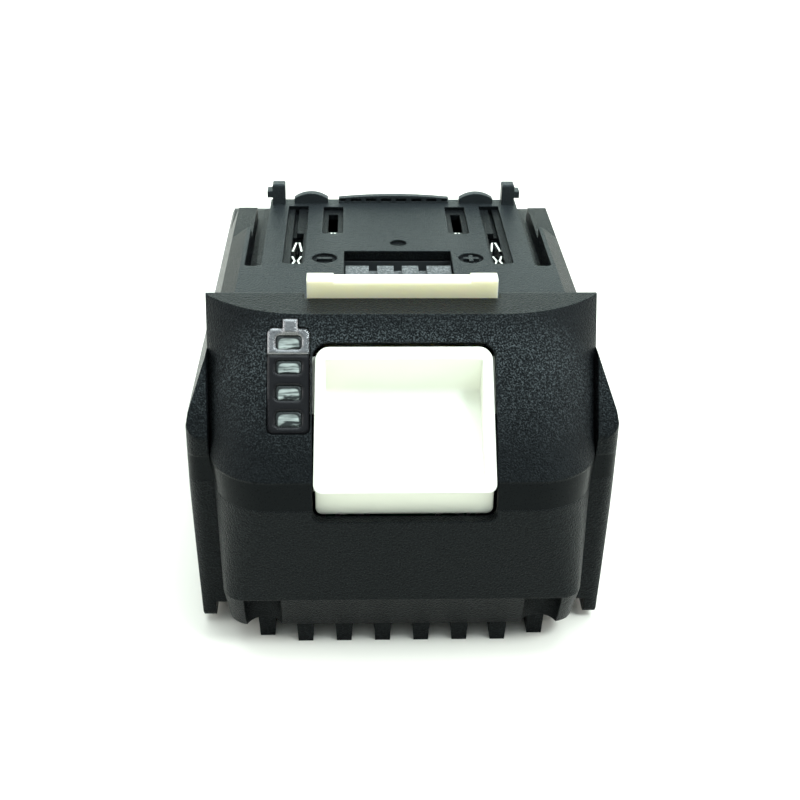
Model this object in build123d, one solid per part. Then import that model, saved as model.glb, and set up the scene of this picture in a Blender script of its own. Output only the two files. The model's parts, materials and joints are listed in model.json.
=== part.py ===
from build123d import *
import math
import os

# A slide-on battery pack for cordless tools.
# Millimetres. +X to the right of the front face, +Y to the rear, +Z up.
# Origin on the ground plane, under the middle of the pack's length and width.

# Clearances
fit_gap = 0.3
close_gap = 0.1
beyond = 90.0

# Cells, which set the length and the width of the case
cell_radius = 9.1
cell_length = 65.0
cell_columns = 5
cell_spacing = 0.5
cell_pitch = 2 * cell_radius + cell_spacing
holder_wall = 0.6
strip_thickness = 0.3
tab_thickness = 0.4

# Driving sizes of the case
front_reach = 56.2
front_room = 16.1
side_gap = 2.8
rib_height = 4.6
case_wall = 2.0
holder_front_y = front_room - front_reach
holder_rear_y = holder_front_y + (cell_columns - 1) * cell_pitch + 2 * (cell_radius + holder_wall)
rear_reach = holder_rear_y + close_gap + case_wall
half_bulge = cell_length / 2 + strip_thickness + tab_thickness + side_gap + case_wall
crease_z = 36.5
deck_z = 56.6
shoulder_z = 54.2
hood_z = 59.6
floor_z = rib_height + case_wall
under_deck_z = deck_z - case_wall

# Rail grooves, which set the width of the deck
groove_inner = 26.4
groove_step = 1.6
groove_mid = groove_inner + groove_step
groove_outer = groove_mid + groove_step
groove_strip = 0.8

# Main body outline seen from the front (half)
foot_draft = 1.05
bulge_draft = 0.15
over_bulge_draft = 0.5
shoulder_step = 3.2
side_foot_z = 1.0
side_foot_width = 2.4
half_foot = half_bulge - foot_draft
half_over_bulge = half_bulge - over_bulge_draft
half_deck = groove_outer + groove_strip
half_shoulder = half_deck + shoulder_step
bulge_z = 41.5
over_bulge_z = 43.6
foot_round = 1.3
flank_round = 1.2

# Main body outline seen from the side
wing_front_depth = 10.2
wing_lean_z = 40.0
wing_round = 1.5
deck_end_y = 27.2
tail_foot_y = 32.0
tail_foot_z = 47.6
tail_z = 46.8
tail_round = 11.7
heel_round = 4.0
plan_rear_round = 5.5
plan_front_round = 2.5
wing_solid_depth = 13.2
deck_front_depth = 22.9

# Front block and hood: plan sections from the bottom up
hood_rear_depth = 27.9
block_rear_depth = 14.2
bevel_z = 12.6
band_z = 31.4
lower_front_depth = 0.2
bevel_foot_depth = 3.5
crease_depth = 1.147
face_foot_z = 35.0
hood_front_depth = 18.8
block_foot_inset = 6.5
block_bevel_inset = 5.9
block_band_inset = 4.8
crease_inset = 4.1
hood_inset = 3.1
half_block_foot = half_bulge - block_foot_inset
half_block_bevel = half_bulge - block_bevel_inset
half_block_band = half_bulge - block_band_inset
half_crease = half_bulge - crease_inset
half_hood = half_bulge - hood_inset
foot_corner = 4.0
band_corner = 10.5
crease_corner = 11.0
hood_sweep = 17.9
hood_sweep_depth = 8.5


def from_front(depth):
    return depth - front_reach


# The leaning front face
lean = math.atan2(hood_front_depth, hood_z - face_foot_z)

face_plane = Plane(
    origin=(0, -front_reach, face_foot_z),
    x_dir=(1, 0, 0),
    z_dir=(0, -math.cos(lean), math.sin(lean)),
)

# Foot ribs
rib_pitch = 7.06
rib_count = 8
rib_tip_width = 2.7
rib_root_width = 3.3
rib_front_depth = 4.3
outer_rib_step = 1.7
rib_rear_step = 7.2
rib_rear_y = rear_reach - rib_rear_step
rib_bury = 0.6

# Round-backed notches in the foot of the front
notch_x = 25.0
notch_depth = 2.5
notch_radius = 3.3
notch_roof_z = 12.5
notch_wall = 1.4

# Case screws, in narrow wells midway between two ribs
screw_pitch_count = 3
screw_x = screw_pitch_count * rib_pitch
screw_depth = 7.6
well_radius = 1.85
well_roof_z = 12.5
well_wall = 1.6
screw_head_radius = 1.7
screw_head_height = 1.8
screw_radius = 1.1
screw_length = 18.0
boss_radius = 2.5
boss_top_z = 42.0
driver_recess_radius = 0.8
driver_recess_depth = 1.0

# Rail grooves
groove_front_y = -9.4
groove_deep_step = 1.4
groove_deep_z = 50.8
groove_shelf_z = 53.8
trough_wall = 1.6
trough_end_y = 30.0
shoulder_cut_y = 10.6
shoulder_cut_inner = 29.0
groove_corner = 0.8

# Rail posts at the rear of the rails
post_inner = 23.2
post_outer = 25.9
post_front_y = 24.0
post_rear_y = 26.9
post_top_z = 61.0
lip_outer = 27.0
lip_top_z = 59.5
lip_under_z = 58.1
post_round = 0.5

# Terminal channels, slots and marks in the deck
ledge_depth = 0.8
main_channel_inner = 18.2
main_channel_outer = 22.4
main_channel_front_y = -8.3
main_channel_rear_y = 23.0
main_channel_corner = 1.0
signal_channel_corner = 0.7
main_slot_inner = 18.8
main_slot_outer = 21.0
main_slot_front_y = -6.5
main_slot_rear_y = 9.2
blade_line_inner = 20.2
blade_line_depth = 1.0
signal_channel_inner = 10.8
signal_channel_outer = 15.0
signal_channel_front_y = 7.2
signal_channel_rear_y = 22.5
signal_slot_inner = 11.9
signal_slot_outer = 13.9
signal_slot_front_y = 8.2
signal_slot_rear_y = 20.0
opening_half = 10.5
opening_front_y = -14.5
opening_rear_y = -1.95
mark_x = 14.3
mark_y = -5.5
mark_radius = 2.45
mark_depth = 0.5
mark_bar_length = 3.0
mark_bar_width = 0.8
gate_x = 0.3
gate_y = 2.2
gate_radius = 1.65
gate_depth = 0.5

# Raised details along the rear edge of the deck
ridge_half = 11.8
ridge_front_y = 25.0
ridge_rear_y = 26.4
ridge_top_z = 57.6
ridge_rise = 0.6
vent_count = 8
vent_pitch = 3.26
vent_width = 2.2
vent_low_z = 56.9
vent_high_z = 57.5
vent_back = 0.6
lump_inner = 14.1
lump_outer = 21.3
lump_front_y = 24.6
lump_top_z = 58.8
lump_shoulder_z = 57.6

# Release button, in the leaning face
button_half_top = 15.2
button_half_foot = 15.6
button_top_z = 55.06
button_top_depth = 15.33
button_back_depth = 17.8
thumb_half = 13.5
thumb_top_z = 53.3
thumb_foot_z = 36.9
thumb_deep_depth = 15.7
thumb_deep_z = 46.3
thumb_round = 1.0
skirt_front_depth = 2.7
skirt_rear_depth = 4.5
skirt_half = 15.3
skirt_foot_z = 29.2
spring_plate_top_z = 31.0
spring_plate_rear_depth = 13.2
spring_plate_half = 13.4
lip_back_z = 33.9
button_inner_z = 36.4
button_back_low_z = 46.2
button_heel_depth = 16.4
button_heel_z = 44.4
button_corner = 2.4
button_foot_corner = 1.6
skirt_corner = 1.2
flange_outer = 17.0
flange_inner = 14.6
flange_low = 14.0
flange_high = 24.0
flange_depth = 2.3
flange_thickness = 0.9
button_window_half = 15.8
button_window_foot_z = 29.05
button_window_top = 26.0
button_window_corner = 2.7
button_window_foot_corner = 1.6

# Latch bar
latch_half = 16.9
latch_front_depth = 25.7
latch_rear_depth = 29.2
latch_rise = 3.4
latch_top_z = hood_z + latch_rise
latch_raise = 0.3
latch_raise_inner = 12.2
latch_round = 0.6
latch_foot_z = 50.0
shelf_top_z = 52.0
shelf_half = 14.4
notch_half = 17.4

# Release springs
spring_x = 9.0
spring_depth = 9.2
spring_outer_radius = 3.3
spring_wire = 0.7
spring_seat_z = 13.0
spring_seat_radius = 4.2
spring_pin_radius = 1.9
spring_pin_z = 19.0

# Charge gauge, measured on the leaning face (up the face from its foot line)
gauge_left = -23.4
gauge_right = -16.2
gauge_low = 10.3
gauge_split = 24.0
gauge_high = 28.6
gauge_sink = 0.35
gauge_corner = 1.0
nub_left = -20.75
nub_right = -18.27
nub_high = 30.1
nub_rise = 0.5
window_left = -22.0
window_right = -17.56
window_lows = (24.91, 20.68, 16.09, 11.47)
window_highs = (27.35, 23.01, 18.69, 14.22)
window_sink = 0.15
window_corner = 0.7
pipe_depth = 2.8
key_gap = 0.15
gauge_board_left = -25.2
gauge_board_right = -16.2
gauge_board_low = 9.6
gauge_board_high = 30.4
gauge_board_depth = 6.0
gauge_board_thickness = 1.0
gauge_post_radius = 0.9
gauge_post_left = -24.3
gauge_post_rows = (10.8, 29.2)
led_width = 2.0
led_height = 1.2
led_rise = 0.8
switch_x = -19.5
switch_up = 29.0
switch_size = 2.4
switch_rise = 1.4
plunger_radius = 0.5
plunger_hole_radius = 0.7
plunger_bury = 0.6
plunger_hole_depth = 1.25
key_stem_radius = 0.7
key_stem_reach = 3.6

# Cells and their holders
low_layer_z = floor_z + holder_wall + cell_radius
cap_radius = 3.2
cap_height = 0.8
cell_chamfer = 0.4
holder_inner_x = 14.0
holder_corner = 9.4
bore_gap = 0.05
strip_half_width = 5.0
strip_low_z = 11.3
strip_high_z = 40.0
foam_half = 12.0
foam_overhang = 5.6
bead_radius = 1.2
bead_length = 4.0
sheet_thickness = 0.3
sheet_inset = 2.5
sheet_half = cell_length / 2 - sheet_inset
sheet_front_y = -24.0
sheet_rear_y = 27.0

# Circuit board and what stands on it
board_half = 24.5
board_latch_gap = 3.0
board_rear_y = 25.6
board_z = 47.4
board_thickness = 1.6
board_post_x = 19.4
board_post_front_y = -20.6
board_post_rear_y = 22.4
board_post_radius = 2.4
board_screw_radius = 1.0
board_screw_head = 1.9
board_screw_head_height = 1.2
board_screw_length = 4.0
block_half = 23.6
block_front_y = -8.6
block_end_y = 13.4
block_top_z = 54.4
pocket_inner = 18.6
pocket_outer = 21.2
pocket_front_y = -7.0
pocket_rear_y = 9.6
signal_pocket_inner = 11.4
signal_pocket_outer = 14.3
signal_pocket_front_y = 7.6
signal_pocket_rear_y = 12.0
leaf_thickness = 0.4
leaf_top_z = 55.2
contact_base_height = 0.5
contact_x = 19.9
leaf_spread = 0.9
leaf_pinch = 0.3
first_leaf_front_y = -5.9
first_leaf_rear_y = -1.3
second_leaf_front_y = 1.2
second_leaf_rear_y = 5.8
contact_base_half = 1.2
signal_contact_x = 12.85
signal_leaf_front_y = 8.3
signal_leaf_rear_y = 11.2
signal_spread = 0.8
connector_half = 10.2
connector_front_y = -14.2
connector_rear_y = -2.3
connector_base_top_z = 51.0
connector_block_rear_y = -7.2
connector_block_top_z = 55.7
connector_rib_top_z = 54.6
connector_block_edges = ((-10.2, -5.7), (-4.1, -0.9), (0.7, 3.9), (5.5, 10.2))
blade_thickness = 0.5
blade_front_y = -6.6
blade_rear_y = -3.2
blade_top_z = 52.6
blade_pitch = 4.8
chip_size = 6.0
chip_height = 1.0
chip_x = 6.0
chip_y = 18.6
fuse_length = 6.0
fuse_width = 3.0
fuse_height = 2.0
fuse_setback = 5.0
cap_size = 2.0
cap_block_height = 1.4
cap_x = 13.0
cap_front_y = -19.0
cap_rear_y = 18.6

# Leads from the end strips to the board
tab_width = 5.0
tab_lap_z = 35.5
tab_low_z = 40.6
tab_high_z = 43.6
tab_board_inner = 22.0


# Places measured back from the front face
wing_front_y = from_front(wing_front_depth)
deck_front_y = from_front(deck_front_depth)
hood_rear_y = from_front(hood_rear_depth)
block_rear_y = from_front(block_rear_depth)
lower_front_y = from_front(lower_front_depth)
bevel_foot_y = from_front(bevel_foot_depth)
crease_y = from_front(crease_depth)
hood_front_y = from_front(hood_front_depth)
wing_solid_y = from_front(wing_solid_depth)
rib_front_y = from_front(rib_front_depth)
notch_y = from_front(notch_depth)
screw_y = from_front(screw_depth)
button_top_y = from_front(button_top_depth)
button_back_y = from_front(button_back_depth)
thumb_deep_y = from_front(thumb_deep_depth)
skirt_front_y = from_front(skirt_front_depth)
skirt_rear_y = from_front(skirt_rear_depth)
spring_plate_rear_y = from_front(spring_plate_rear_depth)
button_heel_y = from_front(button_heel_depth)
latch_front_y = from_front(latch_front_depth)
latch_rear_y = from_front(latch_rear_depth)
spring_y = from_front(spring_depth)
board_front_y = latch_rear_y + board_latch_gap
fuse_y = board_front_y + fuse_setback


# Helpers
def slab(x_low, x_high, y_low, y_high, z_low, z_high):
    block = Box(x_high - x_low, y_high - y_low, z_high - z_low, align=(Align.MIN, Align.MIN, Align.MIN))
    return Pos(x_low, y_low, z_low) * block


def rod(x, y, z_low, z_high, radius):
    bar = Cylinder(radius, z_high - z_low, align=(Align.CENTER, Align.CENTER, Align.MIN))
    return Pos(x, y, z_low) * bar


def both_sides(shape):
    return shape + mirror(shape, about=Plane.YZ)


def rounded(points, radii):
    return make_face(FilletPolyline(*points, radius=radii, close=True))


def shrunk(face, inset):
    if inset == 0:
        return face
    return offset(face, amount=-inset, kind=Kind.INTERSECTION)


def side_prism(face, half):
    # A face drawn in (Y, Z), extruded both ways along X
    return extrude(Plane.YZ * face, amount=half, both=True)


def face_slab(left, right, low, high, depth_out, depth_in):
    # A block in the leaning face's own frame: along X, up the face, outward
    block = Box(right - left, high - low, depth_out - depth_in, align=(Align.MIN, Align.MIN, Align.MIN))
    return face_plane * (Pos(left, low, depth_in) * block)


def face_rod(x, up, depth_out, depth_in, radius):
    bar = Cylinder(radius, depth_out - depth_in, align=(Align.CENTER, Align.CENTER, Align.MIN))
    return face_plane * (Pos(x, up, depth_in) * bar)


def save(name, shape):
    os.makedirs("parts", exist_ok=True)
    export_step(shape, "parts/" + name + ".step")


# Case outlines
def body_form(inset):
    front_half = [
        (half_foot, side_foot_z, foot_round),
        (half_bulge, band_z, 0),
        (half_bulge - bulge_draft, bulge_z, flank_round),
        (half_over_bulge, over_bulge_z, flank_round),
        (half_shoulder, shoulder_z, 0),
        (half_deck, deck_z, 0),
    ]
    right = [(x, z) for x, z, r in front_half]
    left = [(-x, z) for x, z, r in reversed(front_half)]
    radii = [r for x, z, r in front_half]
    front = shrunk(rounded(right + left, radii + radii[::-1]), inset)
    side_corners = [
        (wing_front_y, side_foot_z, wing_round),
        (rear_reach, side_foot_z, heel_round),
        (rear_reach, tail_z, tail_round),
        (tail_foot_y, tail_foot_z, wing_round),
        (deck_end_y, deck_z, 0),
        (deck_front_y, deck_z, 0),
        (wing_front_y, wing_lean_z, wing_round),
    ]
    side = shrunk(rounded([(y, z) for y, z, r in side_corners], [r for y, z, r in side_corners]), inset)
    plan_corners = [
        (half_bulge, wing_front_y, plan_front_round),
        (half_bulge, rear_reach, plan_rear_round),
        (-half_bulge, rear_reach, plan_rear_round),
        (-half_bulge, wing_front_y, plan_front_round),
    ]
    plan = shrunk(rounded([(x, y) for x, y, r in plan_corners], [r for x, y, r in plan_corners]), inset)
    along = extrude(Plane.XZ * front, amount=beyond, both=True)
    across = side_prism(side, beyond)
    upright = extrude(plan, amount=beyond)
    return along & across & upright


def plan_section(z, half, front, sweep, depth, rear):
    # Flat front, corner sweeps that leave the front tangentially, straight sides
    right_start = (half - sweep, front)
    right_end = (half, front + depth)
    left_start = (sweep - half, front)
    left_end = (-half, front + depth)
    outline = [
        Line(left_start, right_start),
        TangentArc(right_start, right_end, tangent=(1, 0)),
        Line(right_end, (half, rear)),
        Line((half, rear), (-half, rear)),
        Line((-half, rear), left_end),
        TangentArc(left_start, left_end, tangent=(-1, 0)),
    ]
    return Pos(0, 0, z) * make_face(outline)


def block_form(inset, floor):
    # The lower front block, from the bottom bevel up to the crease
    rise = (floor - rib_height) / (bevel_z - rib_height)
    foot_y = bevel_foot_y + (lower_front_y - bevel_foot_y) * rise
    lean_inset = inset / math.cos(lean)
    corner = foot_corner - inset
    sections = [
        plan_section(floor, half_block_foot - inset, foot_y + inset, corner, corner, block_rear_y),
        plan_section(
            bevel_z, half_block_bevel - inset, lower_front_y + inset, corner, corner, block_rear_y
        ),
        plan_section(
            band_z,
            half_block_band - inset,
            lower_front_y + inset,
            band_corner - inset,
            band_corner - inset,
            block_rear_y,
        ),
        plan_section(
            crease_z,
            half_crease - inset,
            crease_y + lean_inset,
            crease_corner - inset,
            crease_corner - inset,
            block_rear_y,
        ),
    ]
    return loft(sections, ruled=True)


def hood_form(inset, top):
    lean_inset = inset / math.cos(lean)
    drop = (hood_z - top) * math.tan(lean)
    rear = hood_rear_y - inset
    sections = [
        plan_section(
            crease_z,
            half_crease - inset,
            crease_y + lean_inset,
            crease_corner - inset,
            crease_corner - inset,
            rear,
        ),
        plan_section(
            top,
            half_hood - inset,
            hood_front_y - drop + lean_inset,
            hood_sweep - inset,
            hood_sweep_depth - 2 * inset,
            rear,
        ),
    ]
    return loft(sections, ruled=True)


def between_fronts():
    # What lies between the sides of the front block and hood, for the wings to be cut by
    levels = [
        (rib_height, half_block_foot),
        (bevel_z, half_block_bevel),
        (band_z, half_block_band),
        (crease_z, half_crease),
    ]
    low = [plan_rectangle(z, half, block_rear_y) for z, half in levels]
    high = [plan_rectangle(z, half, hood_rear_y) for z, half in [levels[-1], (hood_z, half_hood)]]
    return loft(low, ruled=True) + loft(high, ruled=True)


def plan_rectangle(z, half, rear):
    corners = [(-half, -beyond), (half, -beyond), (half, rear), (-half, rear)]
    return Pos(0, 0, z) * make_face(Polyline(*corners, close=True))


def wing_fronts():
    # The body stays solid in front of here, where the block's corners turn away from it
    rise = hood_z - crease_z
    points = [
        (-beyond, 0),
        (wing_solid_y, 0),
        (wing_solid_y, crease_z),
        (wing_solid_y + rise * math.tan(lean), hood_z),
        (-beyond, hood_z),
    ]
    return side_prism(make_face(Polyline(*points, close=True)), beyond)


def under_room():
    # The ribs stand in this room, between the two long side feet
    half = half_foot - side_foot_width
    return slab(-half, half, -beyond, beyond, -beyond, rib_height)


above_floor = slab(-beyond, beyond, -beyond, beyond, floor_z, beyond)
outer_body = body_form(0) - between_fronts() - under_room()
inner_body = (body_form(case_wall) - wing_fronts()) & above_floor
outer_hood = hood_form(0, hood_z)
inner_hood = hood_form(case_wall, hood_z - case_wall)
outer_block = block_form(0, rib_height)
inner_block = block_form(case_wall, floor_z)
below_parting = slab(-beyond, beyond, -beyond, beyond, -beyond, band_z)
above_parting = slab(-beyond, beyond, -beyond, beyond, band_z, beyond)


# Release button opening, through the hood face and the lower front wall
def button_window():
    half = button_window_half
    upper_points = [
        (-half, -case_wall),
        (half, -case_wall),
        (half, button_window_top),
        (-half, button_window_top),
    ]
    upper = rounded(upper_points, [0, 0, button_window_corner, button_window_corner])
    cut = extrude(face_plane * upper, amount=beyond)
    cut += extrude(face_plane * upper, amount=-2 * case_wall)
    lower_points = [
        (-half, button_window_foot_z),
        (half, button_window_foot_z),
        (half, crease_z),
        (-half, crease_z),
    ]
    lower = rounded(lower_points, [button_window_foot_corner, button_window_foot_corner, 0, 0])
    foot_y = skirt_front_y + case_wall
    return cut + Pos(0, foot_y, 0) * extrude(Plane.XZ * lower, amount=beyond)


def foot_rib(x, front_y):
    tip = rib_tip_width / 2
    root = rib_root_width / 2
    top = rib_height + rib_bury
    profile = make_face(Polyline((-tip, 0), (tip, 0), (root, top), (-root, top), close=True))
    bar = extrude(Plane.XZ * profile, amount=-(rib_rear_y - front_y))
    return Pos(x, front_y, 0) * bar


def make_lower_case():
    outer = (outer_body + outer_block) & below_parting
    inner = (inner_body + inner_block) & below_parting
    case = outer - inner
    room = notch_radius + notch_wall
    notch_block = rod(notch_x, notch_y, rib_height, notch_roof_z + case_wall, room)
    notch_block += slab(
        notch_x - room, notch_x + room, -front_reach, notch_y, rib_height, notch_roof_z + case_wall
    )
    case += both_sides(notch_block & outer_block)
    case += both_sides(rod(screw_x, screw_y, rib_height, well_roof_z + case_wall, well_radius + well_wall))
    seat = rod(spring_x, spring_y, floor_z - case_wall / 2, spring_seat_z, spring_seat_radius)
    seat += rod(spring_x, spring_y, spring_seat_z, spring_pin_z, spring_pin_radius)
    case += both_sides(seat)
    for index in range(rib_count):
        step = index - (rib_count - 1) / 2
        is_outer = abs(step) > rib_count / 2 - 1
        front_y = rib_front_y + (outer_rib_step if is_outer else 0)
        case += foot_rib(step * rib_pitch, front_y)
    notch = rod(notch_x, notch_y, -beyond, notch_roof_z, notch_radius)
    notch += slab(notch_x - notch_radius, notch_x + notch_radius, -beyond, notch_y, -beyond, notch_roof_z)
    case -= both_sides(notch)
    case -= both_sides(rod(screw_x, screw_y, -beyond, well_roof_z, well_radius))
    clear_radius = screw_radius + close_gap
    case -= both_sides(rod(screw_x, screw_y, floor_z, well_roof_z + 2 * case_wall, clear_radius))
    case -= button_window()
    return case


def make_screw():
    shank_top = well_roof_z + screw_length
    screw = rod(screw_x, screw_y, well_roof_z - screw_head_height, well_roof_z, screw_head_radius)
    screw += rod(screw_x, screw_y, well_roof_z, shank_top, screw_radius)
    head_z = well_roof_z - screw_head_height
    screw -= rod(screw_x, screw_y, head_z, head_z + driver_recess_depth, driver_recess_radius)
    return both_sides(screw)


# Upper case
def rail_trough():
    trough = slab(
        groove_inner - trough_wall,
        groove_outer + trough_wall,
        groove_front_y - trough_wall,
        trough_end_y,
        groove_deep_z - trough_wall,
        deck_z,
    )
    return both_sides(trough & outer_body)


def rail_cuts():
    cut = slab(groove_mid, groove_outer, groove_front_y + groove_deep_step, beyond, groove_deep_z, beyond)
    cut += slab(groove_inner, groove_outer, groove_front_y, beyond, groove_shelf_z, beyond)
    cut += slab(shoulder_cut_inner, beyond, shoulder_cut_y, beyond, shoulder_z, beyond)
    return both_sides(front_rounded(cut, groove_corner))


def rail_post():
    post = slab(post_inner, post_outer, post_front_y, post_rear_y, deck_z - case_wall / 2, post_top_z)
    post = fillet(post.edges().group_by(Axis.Z)[-1], post_round)
    lip = slab(post_outer - case_wall / 2, lip_outer, post_front_y, post_rear_y, lip_under_z, lip_top_z)
    return both_sides(post + lip)


def front_rounded(block, radius):
    return fillet(block.edges().filter_by(Axis.Z).group_by(Axis.Y)[0], radius)


def channel_cuts():
    ledge_z = deck_z - ledge_depth
    line_z = deck_z - ledge_depth - blade_line_depth
    main_channel = slab(
        main_channel_inner,
        main_channel_outer,
        main_channel_front_y,
        main_channel_rear_y,
        ledge_z,
        beyond,
    )
    cut = front_rounded(main_channel, main_channel_corner)
    slot_floor_z = under_deck_z - case_wall
    cut += slab(main_slot_inner, main_slot_outer, main_slot_front_y, main_slot_rear_y, slot_floor_z, beyond)
    cut += slab(blade_line_inner, main_slot_outer, main_slot_rear_y, main_channel_rear_y, line_z, beyond)
    signal_channel = slab(
        signal_channel_inner,
        signal_channel_outer,
        signal_channel_front_y,
        signal_channel_rear_y,
        ledge_z,
        beyond,
    )
    cut += front_rounded(signal_channel, signal_channel_corner)
    cut += slab(
        signal_slot_inner,
        signal_slot_outer,
        signal_slot_front_y,
        signal_slot_rear_y,
        slot_floor_z,
        beyond,
    )
    return both_sides(cut)


def mark_cuts():
    cut = both_sides(rod(mark_x, mark_y, deck_z - mark_depth, beyond, mark_radius))
    cut += rod(gate_x, gate_y, deck_z - gate_depth, beyond, gate_radius)
    return cut


def mark_bars():
    bar_half = mark_bar_length / 2
    width_half = mark_bar_width / 2
    low_z = deck_z - mark_depth
    across = slab(-bar_half, bar_half, -width_half, width_half, low_z, deck_z)
    along = slab(-width_half, width_half, -bar_half, bar_half, low_z, deck_z)
    minus = Pos(-mark_x, mark_y, 0) * across
    plus = Pos(mark_x, mark_y, 0) * (across + along)
    return minus + plus


def vent_ridge():
    base_z = deck_z - case_wall / 2
    crown = (0, ridge_top_z + ridge_rise)
    outline = [
        Line((-ridge_half, base_z), (ridge_half, base_z)),
        Line((ridge_half, base_z), (ridge_half, ridge_top_z)),
        ThreePointArc((ridge_half, ridge_top_z), crown, (-ridge_half, ridge_top_z)),
        Line((-ridge_half, ridge_top_z), (-ridge_half, base_z)),
    ]
    face = make_face(outline)
    ridge = Pos(0, ridge_front_y, 0) * extrude(Plane.XZ * face, amount=-(ridge_rear_y - ridge_front_y))
    for index in range(vent_count):
        x = (index - (vent_count - 1) / 2) * vent_pitch
        half = vent_width / 2
        ridge -= slab(x - half, x + half, -beyond, ridge_rear_y - vent_back, vent_low_z, vent_high_z)
    return ridge


def deck_lumps():
    base_z = deck_z - case_wall / 2
    middle = (lump_inner + lump_outer) / 2
    outline = [
        Line((lump_inner, base_z), (lump_outer, base_z)),
        Line((lump_outer, base_z), (lump_outer, lump_shoulder_z)),
        ThreePointArc((lump_outer, lump_shoulder_z), (middle, lump_top_z), (lump_inner, lump_shoulder_z)),
        Line((lump_inner, lump_shoulder_z), (lump_inner, base_z)),
    ]
    face = make_face(outline)
    lump = extrude(Plane.XZ * face, amount=-(ridge_rear_y - lump_front_y))
    return both_sides(Pos(0, lump_front_y, 0) * lump)


def gauge_hole():
    hole = face_slab(
        gauge_left - key_gap,
        gauge_right + key_gap,
        gauge_low - key_gap,
        gauge_high + key_gap,
        case_wall,
        -2 * case_wall,
    )
    corner_edges = hole.edges().filter_by(Axis(face_plane.origin, face_plane.z_dir))
    hole = fillet(corner_edges, gauge_corner + key_gap)
    hole += face_slab(
        nub_left - key_gap,
        nub_right + key_gap,
        gauge_high - gauge_corner,
        nub_high + key_gap,
        case_wall,
        -2 * case_wall,
    )
    return hole


def gauge_posts():
    posts = []
    for row in gauge_post_rows:
        posts.append(face_rod(gauge_post_left, row, -case_wall / 2, -gauge_board_depth, gauge_post_radius))
    return posts[0] + posts[1]


def make_upper_case():
    outer = (outer_body + outer_block + outer_hood) & above_parting
    inner = (inner_body + inner_block + inner_hood) & above_parting
    case = outer - inner
    case += rail_trough()
    boss = rod(screw_x, screw_y, well_roof_z + case_wall, boss_top_z, boss_radius)
    lower_boss = boss & below_parting
    upper_boss = boss & above_parting & (outer_block + outer_hood)
    case += both_sides(lower_boss + upper_boss)
    case += gauge_posts()
    thread_top_z = well_roof_z + screw_length + close_gap
    case -= both_sides(rod(screw_x, screw_y, well_roof_z, thread_top_z, screw_radius))
    case -= rail_cuts()
    case -= channel_cuts()
    case -= mark_cuts()
    case += mark_bars()
    case -= slab(
        -opening_half, opening_half, opening_front_y, opening_rear_y, under_deck_z - case_wall, beyond
    )
    case += rail_post()
    case += vent_ridge()
    case += deck_lumps()
    case -= slab(
        -notch_half,
        notch_half,
        latch_front_y - fit_gap,
        latch_rear_y + fit_gap,
        under_deck_z - case_wall,
        beyond,
    )
    case -= button_window()
    case -= gauge_hole()
    return case


# Release button and latch
def thumb_hollow():
    top = (-front_reach + (thumb_top_z - face_foot_z) * math.tan(lean), thumb_top_z)
    foot = (-front_reach + (thumb_foot_z - face_foot_z) * math.tan(lean), thumb_foot_z)
    deep = (thumb_deep_y, thumb_deep_z)
    out_top = (top[0] - case_wall, top[1] + case_wall)
    out_foot = (foot[0] - case_wall, foot[1])
    corners = [top, out_top, out_foot, foot, deep]
    profile = rounded(corners, [0, 0, 0, 0, thumb_round])
    hollow = side_prism(profile, thumb_half)
    return hollow


def make_button():
    points = [
        (-front_reach, face_foot_z),
        (button_top_y, button_top_z),
        (button_back_y, button_top_z),
        (button_back_y, button_back_low_z),
        (button_heel_y, button_heel_z),
        (skirt_rear_y, button_inner_z),
        (skirt_rear_y, skirt_foot_z),
        (skirt_front_y, skirt_foot_z),
        (skirt_front_y, lip_back_z),
    ]
    body = side_prism(make_face(Polyline(*points, close=True)), button_half_foot)
    # The face narrows a little towards the top and has rounded corners
    face_up = (button_top_z - face_foot_z) / math.cos(lean)
    face_points = [
        (button_half_foot, 0),
        (button_half_top, face_up),
        (-button_half_top, face_up),
        (-button_half_foot, 0),
    ]
    radii = [button_foot_corner, button_corner, button_corner, button_foot_corner]
    front = extrude(face_plane * rounded(face_points, radii), amount=beyond, both=True)
    radii = [0, button_corner, button_corner, 0]
    top = extrude(face_plane * rounded(face_points, radii), amount=beyond, both=True)
    before_skirt = slab(-beyond, beyond, -beyond, skirt_front_y, lip_back_z, beyond)
    behind_lip = slab(-beyond, beyond, skirt_front_y, beyond, lip_back_z, beyond)
    skirt_points = [
        (-skirt_half, skirt_foot_z),
        (skirt_half, skirt_foot_z),
        (skirt_half, lip_back_z),
        (-skirt_half, lip_back_z),
    ]
    skirt_front = rounded(skirt_points, [skirt_corner, skirt_corner, 0, 0])
    skirt = body & extrude(Plane.XZ * skirt_front, amount=beyond, both=True)
    body = (body & before_skirt & front) + (body & behind_lip & top) + skirt
    plate = slab(
        -spring_plate_half,
        spring_plate_half,
        (skirt_front_y + skirt_rear_y) / 2,
        spring_plate_rear_y,
        skirt_foot_z,
        spring_plate_top_z,
    )
    body += plate
    flange = face_slab(
        flange_inner, flange_outer, flange_low, flange_high, -flange_depth, -flange_depth - flange_thickness
    )
    body += both_sides(flange)
    return body - thumb_hollow()


def latch_bar(left, right, top_z):
    corners = [
        (latch_front_y, latch_foot_z, 0),
        (latch_rear_y, latch_foot_z, 0),
        (latch_rear_y, top_z, latch_round),
        (latch_front_y, top_z, latch_round),
    ]
    profile = rounded([(y, z) for y, z, r in corners], [r for y, z, r in corners])
    return Pos(left, 0, 0) * extrude(Plane.YZ * profile, amount=right - left)


def make_latch():
    bar = latch_bar(-latch_half, latch_half, latch_top_z - latch_raise)
    bar += both_sides(latch_bar(latch_raise_inner, latch_half, latch_top_z))
    shelf = slab(-shelf_half, shelf_half, button_back_y, latch_front_y, latch_foot_z, shelf_top_z)
    return bar + shelf


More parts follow.
